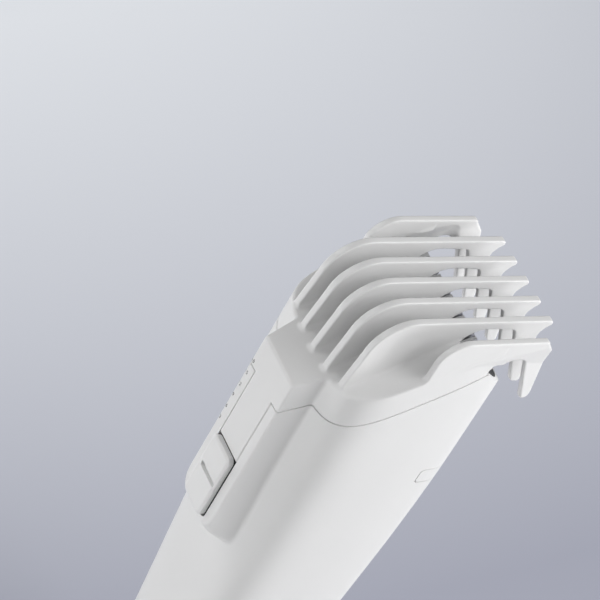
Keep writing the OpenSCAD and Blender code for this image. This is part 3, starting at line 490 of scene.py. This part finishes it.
def metal(name, colour, rough, grind=(1, 60, 1), fine=900):
    """Ground metal: streaks along one way in tone and roughness."""
    mat = bpy.data.materials.new(name)
    mat.use_nodes = True
    tree = mat.node_tree
    shader = tree.nodes["Principled BSDF"]
    shader.inputs["Metallic"].default_value = 1
    place = tree.nodes.new("ShaderNodeTexCoord")
    stretch = tree.nodes.new("ShaderNodeMapping")
    stretch.inputs["Scale"].default_value = grind
    streak = tree.nodes.new("ShaderNodeTexNoise")
    streak.inputs["Scale"].default_value = fine
    streak.inputs["Detail"].default_value = 4
    tree.links.new(place.outputs["Object"], stretch.inputs["Vector"])
    tree.links.new(stretch.outputs["Vector"], streak.inputs["Vector"])
    ramp = tree.nodes.new("ShaderNodeValToRGB")
    ramp.color_ramp.elements[0].color = tuple(c * 0.82 for c in colour) + (1,)
    ramp.color_ramp.elements[1].color = tuple(colour) + (1,)
    tree.links.new(streak.outputs["Fac"], ramp.inputs["Fac"])
    tree.links.new(ramp.outputs["Color"], shader.inputs["Base Color"])
    rub = tree.nodes.new("ShaderNodeMapRange")
    rub.inputs["To Min"].default_value = rough * 0.8
    rub.inputs["To Max"].default_value = rough * 1.25
    tree.links.new(streak.outputs["Fac"], rub.inputs["Value"])
    tree.links.new(rub.outputs["Result"], shader.inputs["Roughness"])
    bump = tree.nodes.new("ShaderNodeBump")
    bump.inputs["Strength"].default_value = 0.3
    bump.inputs["Distance"].default_value = 0.00002
    tree.links.new(streak.outputs["Fac"], bump.inputs["Height"])
    tree.links.new(bump.outputs["Normal"], shader.inputs["Normal"])
    return mat


WHITE = (0.80, 0.80, 0.80)
looks = {
    "shell_white": plastic("shell_white", WHITE, 0.36),
    "comb_white": plastic("comb_white", WHITE, 0.33),
    "graphite_plastic": plastic("graphite_plastic", (0.012, 0.012, 0.013), 0.55, fine=1800),
    "frame_plastic": plastic("frame_plastic", (0.28, 0.29, 0.31), 0.5),
    "blade_steel": metal("blade_steel", (0.66, 0.66, 0.67), 0.3, (60, 1, 1)),
    "screw_steel": metal("screw_steel", (0.58, 0.59, 0.61), 0.3),
    "copper": metal("copper", (0.72, 0.36, 0.18), 0.35, (1, 1, 40)),
    "cell_wrap": plastic("cell_wrap", (0.03, 0.10, 0.30), 0.25, grain=0.00001),
    "board_green": plastic("board_green", (0.01, 0.07, 0.03), 0.35, grain=0.00001),
    "seal_rubber": plastic("seal_rubber", (0.015, 0.015, 0.016), 0.7),
    "lens_clear": plastic("lens_clear", (0.62, 0.66, 0.68), 0.12, grain=0.000005),
    "print_grey": plastic("print_grey", (0.035, 0.037, 0.04), 0.6, grain=0.000002),
}
slots = {part["node"]: part["material_slot"] for part in frame["record"]["subparts"]}
for name, obj in nodes.items():
    obj.data.materials.clear()
    obj.data.materials.append(looks[slots[name]])
    for poly in obj.data.polygons:
        poly.use_smooth = True
    obj.data.set_sharp_from_angle(angle=math.radians(28))


def dress(obj, node, body, look=None):
    """Gives a piece its material and body, in the place of its CAD node."""
    slot = look or slots[node]
    obj.data.materials.clear()
    obj.data.materials.append(looks[slot])
    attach(obj, body)
    if node:
        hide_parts(node)
    return obj


# ---- Housing, cap and plugs ----
def spread(edges):
    """Angles from the front, all the way round, finer where the panel's rim and fillet are."""
    half = [0]
    for stop, step in edges:
        half += list(np.arange(half[-1] + step, stop + 1e-6, step))
    half = [a for a in half if a < 180]
    return half + [180] + [-a for a in half[:0:-1]]


ANGLES = spread([(13, 1.0 * coarse), (21, 0.22 * coarse), (42, 0.6 * coarse),
                 (60, 0.9 * coarse), (180, 1.5 * coarse)])
PLAIN_ANGLES = spread([(30, 2), (60, 1), (120, 2), (150, 1), (180, 2)])


def model_body(x, y, z):
    return body_outer(x, y - FRONT_Y, z - SEAM_H)


def inner_body(x, y, z):
    return outer_plan(x, y - FRONT_Y, body_scale(z), WALL)


def steps(*stops):
    """Heights from the first stop up, with (stop, step) pairs after it."""
    levels = [stops[0]]
    for stop, step in stops[1:]:
        count = max(1, round((stop - levels[-1]) / step))
        levels += list(np.linspace(levels[-1], stop, count + 1)[1:])
    return levels


body_levels = steps(CAP_H + 0.12, (88, 1.6 * coarse), (102, 0.4 * coarse), (SEAM_H + 34, 1.5 * coarse))
outer = ray_loft("outer", model_body, body_levels, ANGLES)
inner = ray_loft("inner", inner_body, steps(CAP_H - 1, (SEAM_H + 36, 3)), PLAIN_ANGLES)


def across_x(a, b, h):
    return in_head(h, a, b)


def across_y(a, b, h):
    return in_head(a, h, b)


def upright(a, b, h):
    return (a, b, h)


# The plugs take their face from the same surface
PLUG_Z = SEAM_H - 8.5


def corner_place(side):
    turn = math.radians(side * PLUG_TURN + 180)

    def place(a, b, h):
        x, y = a, -h
        return (x * math.cos(turn) - y * math.sin(turn), x * math.sin(turn) + y * math.cos(turn), b + PLUG_Z)

    return place


plugs = []
for side in (-1, 1):
    plug = copy_of(outer, "plug_%d" % (side + 1))
    outline = rounded_outline(PLUG_W - 2 * PLUG_PLAY, PLUG_H - 2 * PLUG_PLAY, 0.9)
    boolean(plug, "INTERSECT", prism("hole", outline, 14, OUT, corner_place(side)))
    boolean(plug, "DIFFERENCE", inner, keep=True)
    plugs.append(plug)

housing = copy_of(outer, "housing_shell")
bpy.data.objects.remove(outer)
rim = [(-FAR, seam_at(-FAR)), (PEAK_Y, seam_at(PEAK_Y)), (FAR, seam_at(PEAK_Y) - REAR_FALL * (FAR - PEAK_Y)),
       (FAR, FAR), (-FAR, FAR)]
boolean(housing, "DIFFERENCE", prism("above", rim, -FAR, FAR, across_x))
boolean(housing, "DIFFERENCE", inner)
lip_plan = ray_loft("lip", lambda x, y, z: outer_plan(x, y - FRONT_Y, 1, 0.9),
                    steps(SEAM_H - 20, (SEAM_H + 36, 60)), PLAIN_ANGLES)
drop = [(a, b - 1) for a, b in rim[:3]] + [(a, b + 2) for a, b in rim[3:]]
boolean(lip_plan, "INTERSECT", prism("lip_top", drop, -FAR, FAR, across_x))
boolean(housing, "DIFFERENCE", lip_plan)


def slot_outline(w, low, high, r):
    """Round-cornered below, open above the body."""
    foot = arc((-w / 2 + r, low + r), r, 180, 270, 6) + arc((w / 2 - r, low + r), r, 270, 360, 6)
    return foot + [(w / 2, high), (-w / 2, high)]


boolean(housing, "DIFFERENCE",
        prism("slot", slot_outline(SLOT_W, -SLOT_LEN, OUT, 1.3), -3, PANEL_T + 1, across_y),
        prism("track", slot_outline(PANEL_W - 2.8, -SLOT_LEN - 0.7, OUT, 0.3),
              PANEL_T, PANEL_OUT + 0.5, across_y))
for side in (-1, 1):
    boolean(housing, "DIFFERENCE",
            prism("hole", rounded_outline(PLUG_W, PLUG_H, 1), 14, OUT, corner_place(side)))


def front_tilt(z):
    return math.atan((body_scale(z + 1) - body_scale(z - 1)) * HEAD_D / 4)


def on_front(z):
    """Places (a, b, h) on the front face: a across, b up, h into the body."""
    t = front_tilt(z)
    y0 = -HEAD_D / 2 * float(body_scale(z))
    return lambda a, b, h: (a, y0 + h * math.cos(t) - b * math.sin(t), z + b * math.cos(t) + h * math.sin(t))


button_rim = rounded_outline(BUTTON_W + 0.3, BUTTON_LEN + 0.3, BUTTON_W / 2 + 0.14, 12)
window_rim = rounded_outline(WINDOW_D + 0.02, WINDOW_D + 0.02, WINDOW_D / 2, 8)
boolean(housing, "DIFFERENCE",
        prism("button_hole", button_rim, -3, 4, on_front(BUTTON_Z)),
        prism("window_hole", window_rim, -3, 4, on_front(WINDOW_Z)))
dress(housing, "main_housing", "body")
smooth(housing, 32)
for plug in plugs:
    smooth(plug, 32)
dress(plugs[0], "rear_plugs", "body")
dress(plugs[1], None, "body", "shell_white")

# Bottom cap: rounded foot edge, floor with screw recesses and the charging inlet
def cap_field(x, y, z):
    edge = np.interp(z, [0, 0.25, 0.6, 1.1, 1.7, 2.4, 9], [1.6, 0.95, 0.52, 0.22, 0.06, 0, 0])
    return outer_plan(x, y - FRONT_Y, body_scale(np.maximum(z, 0)), edge)


def tapered_plug(name, inset, levels):
    """Solid that follows the body's outline, set in from it."""
    def field(x, y, z):
        return outer_plan(x, y - FRONT_Y, body_scale(z), inset)

    return ray_loft(name, field, levels, PLAIN_ANGLES)


cap_levels = [0, 0.1, 0.25, 0.42, 0.6, 0.85, 1.1, 1.4, 1.7, 2.05, 2.4, 3.6, CAP_H]
cap = ray_loft("cap_shell", cap_field, cap_levels, PLAIN_ANGLES)
boolean(cap, "UNION", tapered_plug("collar", WALL + 0.16, [CAP_H - 2, CAP_H + 2, CAP_H + 4]))
boolean(cap, "DIFFERENCE", tapered_plug("cap_room", 2 * WALL + 0.15, [CAP_FLOOR, CAP_H, CAP_H + 6]))
SOCKET_Y = -6.8


def at(cx, cy):
    return lambda a, b, h: (cx + a, cy + b, h)


ring = rounded_outline(4.8, 4.8, 2.39, 10)
for side in (-1, 1):
    boolean(cap, "DIFFERENCE", prism("recess", ring, -1, 1.5, at(side * 7, 5)))
boolean(cap, "DIFFERENCE", prism("inlet", rounded_outline(9.4, 3.7, 1.84, 12), -1, 9, at(0, SOCKET_Y)))
dress(cap, "bottom_cap", "body")
smooth(cap, 35)

# ---- Comb ----
comb_step = 0.25
comb = from_field("comb_moulding", comb_field, (-20.6, -0.9, -27.4), (20.6, 55.6, 36.9), comb_step)
dress(comb, "limit_comb", "comb")


# ---- Thumb piece ----
def knob_field(x, y, z):
    """Plate with a bevelled face and one thumb groove; y is the depth from the panel."""
    mid = -SLOT_LEN + KNOB_LEN / 2 + 0.3
    dx = np.abs(x + KNOB_SHIFT) - SLOT_W / 2 + KNOB_PLAY + KNOB_R
    dz = np.abs(z - mid) - KNOB_LEN / 2 + KNOB_R
    plan = np.hypot(np.maximum(dx, 0), np.maximum(dz, 0)) + np.minimum(np.maximum(dx, dz), 0) - KNOB_R
    plate = extruded(plan, np.maximum(-KNOB_H - y, y - PANEL_T), KNOB_EDGE)
    bevel = (plan + KNOB_BEVEL - 2 * (y + KNOB_H)) / math.hypot(1, 2)
    plate = soft_max(plate, bevel, KNOB_EDGE)
    gx = np.maximum(np.abs(x - 0.3) - GROOVE_W, 0)
    gz = np.maximum(np.abs(z - mid - 0.6) - 0.2, 0)
    groove = np.maximum(np.hypot(gx, gz) - GROOVE_R, y + KNOB_H - GROOVE_DEPTH)
    return soft_max(plate, -groove, KNOB_EDGE)


knob = from_field("thumb_piece", knob_field, (-5, -1.7, -38.4), (5, 2.2, -19.1), 0.13)
dress(knob, "slider_knob", "slider")
# Painted shade: the thumb piece's faces below the panel's face take dark graphite plastic, which stands for
# the shade in its narrow gap, so that the gap shows as a dark line
knob.data.materials.append(looks["graphite_plastic"])
for face in knob.data.polygons:
    if face.center.y > (FRONT_Y + 0.05) * MM:
        face.material_index = 1


# ---- Power button, in its own tilted frame ----
def button_field(x, y, z):
    """Pill with a shallow thumb dish; y is the depth into the body."""
    straight = (BUTTON_LEN - BUTTON_W) / 2
    pill = np.hypot(x, np.maximum(np.abs(z) - straight, 0)) - BUTTON_W / 2
    dish = 0.28 * np.exp(-((x / 3.2) ** 2) - (z / 5.2) ** 2)
    head = extruded(pill, np.maximum(-0.5 + dish - y, y - 2.1), 0.35)
    flange = extruded(pill - 1, np.maximum(1.97 - y, y - 2.93), 0.1)
    post = np.maximum(np.hypot(x, z) - 1.5, np.maximum(2 - y, y - 3.45))
    mark_ring = np.maximum(np.abs(np.hypot(x, z) - 1.5) - 0.17, -np.where(z > 0, 0.55 - np.abs(x), -9))
    bar = np.maximum(np.abs(x) - 0.17, np.abs(z - 1.35) - 0.75)
    mark = np.maximum(np.minimum(mark_ring, bar), y + 0.5 - dish - 0.16)
    return np.minimum(np.minimum(np.maximum(head, -mark), flange), post)


net_verts, net_faces = surface_net(button_field, (-5.7, -0.7, -8.7), (5.7, 3.6, 8.7), 0.16)
put = on_front(BUTTON_Z)
net_verts = np.stack(put(net_verts[:, 0], net_verts[:, 2], net_verts[:, 1]), 1)
button = add_object("button_cap", new_mesh("button_cap", net_verts, net_faces))
smooth(button, 180)
dress(button, "power_button", "button")

# ---- Setting numbers: five beside the slot and the comb's own at its foot ----
for k in range(6):
    curve = bpy.data.curves.new("setting", "FONT")
    curve.body = str(3 * (k + 1))
    curve.size = NUMBER_SIZE * MM
    curve.align_x = "CENTER"
    curve.align_y = "CENTER"
    curve.extrude = 0.012 * MM
    text = bpy.data.objects.new("setting_%d" % (k + 1), curve)
    bpy.context.scene.collection.objects.link(text)
    bpy.context.view_layer.update()
    mesh = bpy.data.meshes.new_from_object(text)
    bpy.data.objects.remove(text)
    place = Matrix.Translation(Vector(in_head(NUMBER_X, -0.004, NUMBER_Z + NUMBER_STEP * k)) * MM)
    mesh.transform(place @ Matrix.Rotation(math.radians(90), 4, "X"))
    # The print follows the panel's rounded rim
    for vert in mesh.vertices:
        past = max(-vert.co.x / MM - PANEL_W / 2 + RIM_R, 0)
        vert.co.y += (RIM_R - math.sqrt(RIM_R**2 - min(past, RIM_R) ** 2)) * MM
    label = add_object("setting_number_%d" % (k + 1), mesh)
    label.data.materials.append(looks["print_grey"])
    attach(label, "comb" if k == 5 else "body")

# ---- Floor and backdrop ----
def backdrop():
    """Pale floor. Camera, glossy and transmission rays see a soft blue-grey wash on it.

    The wash is part glow and part lit, so the object's shadow stays but is fainter.
    """
    size = 6
    mesh = bpy.data.meshes.new("floor")
    corners = [(-size, -size, 0), (size, -size, 0), (size, size, 0), (-size, size, 0)]
    mesh.from_pydata(corners, [], [(0, 1, 2, 3)])
    floor = add_object("floor", mesh)
    mat = bpy.data.materials.new("floor")
    mat.use_nodes = True
    tree = mat.node_tree
    plain = tree.nodes["Principled BSDF"]
    plain.inputs["Base Color"].default_value = (0.85, 0.85, 0.85, 1)
    plain.inputs["Roughness"].default_value = 0.9
    plain.inputs["Specular IOR Level"].default_value = 0.1
    place = tree.nodes.new("ShaderNodeTexCoord")
    split = tree.nodes.new("ShaderNodeSeparateXYZ")
    tree.links.new(place.outputs["Object"], split.inputs["Vector"])

    def math_node(kind, a, b):
        node = tree.nodes.new("ShaderNodeMath")
        node.operation = kind
        for socket, value in zip(node.inputs, (a, b)):
            if isinstance(value, bpy.types.NodeSocket):
                tree.links.new(value, socket)
            else:
                socket.default_value = value
        return node.outputs[0]

    # The wash is brightest at the left of the floor and falls towards the right and the back, in metres
    x = math_node("MAXIMUM", math_node("MINIMUM", split.outputs["X"], 0.05), -0.45)
    y = math_node("MAXIMUM", math_node("MINIMUM", split.outputs["Y"], 0.45), -0.1)
    level = math_node("ADD", math_node("MULTIPLY", x, WASH_X), math_node("MULTIPLY", y, WASH_Y))
    bend = math_node("ADD", math_node("MULTIPLY", x, WASH_XX), math_node("MULTIPLY", y, WASH_XY))
    level = math_node("ADD", level, math_node("MULTIPLY", x, bend))
    level = math_node("ADD", level, math_node("MULTIPLY", math_node("MULTIPLY", y, y), WASH_YY))
    level = math_node("ADD", level, WASH_0)
    ramp = tree.nodes.new("ShaderNodeValToRGB")
    dark, light = ramp.color_ramp.elements
    dark.position, dark.color = WASH_DARK
    light.position, light.color = WASH_LIGHT
    tree.links.new(level, ramp.inputs["Fac"])
    glow = tree.nodes.new("ShaderNodeEmission")
    glow.inputs["Strength"].default_value = GLOW
    tree.links.new(ramp.outputs["Color"], glow.inputs["Color"])
    lit = tree.nodes.new("ShaderNodeBsdfDiffuse")
    tree.links.new(ramp.outputs["Color"], lit.inputs["Color"])
    wash = tree.nodes.new("ShaderNodeMixShader")
    wash.inputs["Fac"].default_value = GLOW_SHARE
    tree.links.new(lit.outputs["BSDF"], wash.inputs[1])
    tree.links.new(glow.outputs["Emission"], wash.inputs[2])
    path = tree.nodes.new("ShaderNodeLightPath")
    seen = math_node("MAXIMUM", path.outputs["Is Camera Ray"], path.outputs["Is Glossy Ray"])
    seen = math_node("MAXIMUM", seen, path.outputs["Is Transmission Ray"])
    mix = tree.nodes.new("ShaderNodeMixShader")
    tree.links.new(seen, mix.inputs["Fac"])
    tree.links.new(plain.outputs["BSDF"], mix.inputs[1])
    tree.links.new(wash.outputs["Shader"], mix.inputs[2])
    tree.links.new(mix.outputs["Shader"], tree.nodes["Material Output"].inputs["Surface"])
    mesh.materials.append(mat)


# Strength of the wash's glow and its share of the wash
GLOW, GLOW_SHARE = 1.2, 0.6
# The wash's level as a polynomial in x and y, and the levels and colours of its dark and light ends
WASH_0, WASH_X, WASH_Y, WASH_XX, WASH_XY, WASH_YY = 0.287, -2.067, -0.044, -1.133, 0.909, -0.945
WASH_DARK = (0.36, (0.353, 0.364, 0.432, 1))
WASH_LIGHT = (0.76, (0.735, 0.758, 0.797, 1))
backdrop()

# ---- Camera, from the front right and above, rolled; lengths in mm ----
LOOK_AT, SIDE_SHIFT, TOP_SHIFT, DISTANCE = Vector((0, -9.286, 137.4)), -6.244, 19.991, 669.77
az, el, roll = math.radians(46.02), math.radians(36.15), math.radians(30.59)
back = Vector((math.sin(az) * math.cos(el), -math.cos(az) * math.cos(el), math.sin(el)))
right = Vector((math.cos(az), math.sin(az), 0))
up = back.cross(right)
side_way = math.cos(roll) * right + math.sin(roll) * up
top_way = -math.sin(roll) * right + math.cos(roll) * up
target = LOOK_AT + SIDE_SHIFT * side_way + TOP_SHIFT * top_way
eye = (target + back * DISTANCE) * MM
lens = bpy.data.cameras.new("camera")
lens.sensor_width = 36
lens.lens = 180
lens.clip_end = 10
camera = bpy.data.objects.new("camera", lens)
bpy.context.scene.collection.objects.link(camera)
camera.matrix_world = Matrix((
    (side_way.x, top_way.x, back.x, eye.x), (side_way.y, top_way.y, back.y, eye.y),
    (side_way.z, top_way.z, back.z, eye.z), (0, 0, 0, 1)))
bpy.context.scene.camera = camera


# ---- Light: soft lamps round the head, with most of the power from the right and the back ----
HEAD = Vector((0, 0, 0.14))
# Distance from the head and diameter, in metres
STUDIO, CLOSE = (0.8, 0.4), (0.3, 0.16)


def lamp(name, azimuth, elevation, power, place=STUDIO, skips=None):
    """Round soft lamp aimed at the head; azimuth 0 is the front, 90 the right. It doesn't light skips."""
    distance, size = place
    data = bpy.data.lights.new(name, "AREA")
    data.shape = "DISK"
    data.size = size
    data.energy = power
    obj = bpy.data.objects.new(name, data)
    bpy.context.scene.collection.objects.link(obj)
    a, e = math.radians(azimuth), math.radians(elevation)
    way = Vector((math.sin(a) * math.cos(e), -math.cos(a) * math.cos(e), math.sin(e)))
    obj.location = HEAD + distance * way
    obj.location.z = max(obj.location.z, 0.03)
    obj.rotation_euler = (obj.location - HEAD).to_track_quat("Z", "Y").to_euler()
    obj.visible_camera = False
    if skips:
        group = bpy.data.collections.new(name + "_skips")
        group.objects.link(skips)
        group.collection_objects[0].light_linking.link_state = "EXCLUDE"
        obj.light_linking.receiver_collection = group


# The two low lamps stand just over the floor, so they leave it alone
floor = bpy.data.objects["floor"]
lamp("right_back_high", 125, 45, 2.23)
lamp("right_back", 145, 22, 1.93)
lamp("right_back_low", 145, 2, 2.05)
lamp("right_high", 105, 65, 1.15)
lamp("right", 46, 30, 0.35)
lamp("front", 0, 25, 0.35)
lamp("left", -50, 25, 1.35)
lamp("middle_low", 0, -24, 0.27, CLOSE, floor)
lamp("left_low", -60, -24, 0.15, CLOSE, floor)
world = bpy.data.worlds.new("studio")
bpy.context.scene.world = world
world.use_nodes = True
world.node_tree.nodes["Background"].inputs["Color"].default_value = (1, 1, 1, 1)
world.node_tree.nodes["Background"].inputs["Strength"].default_value = 0.172
bpy.context.scene.view_settings.view_transform = "Standard"
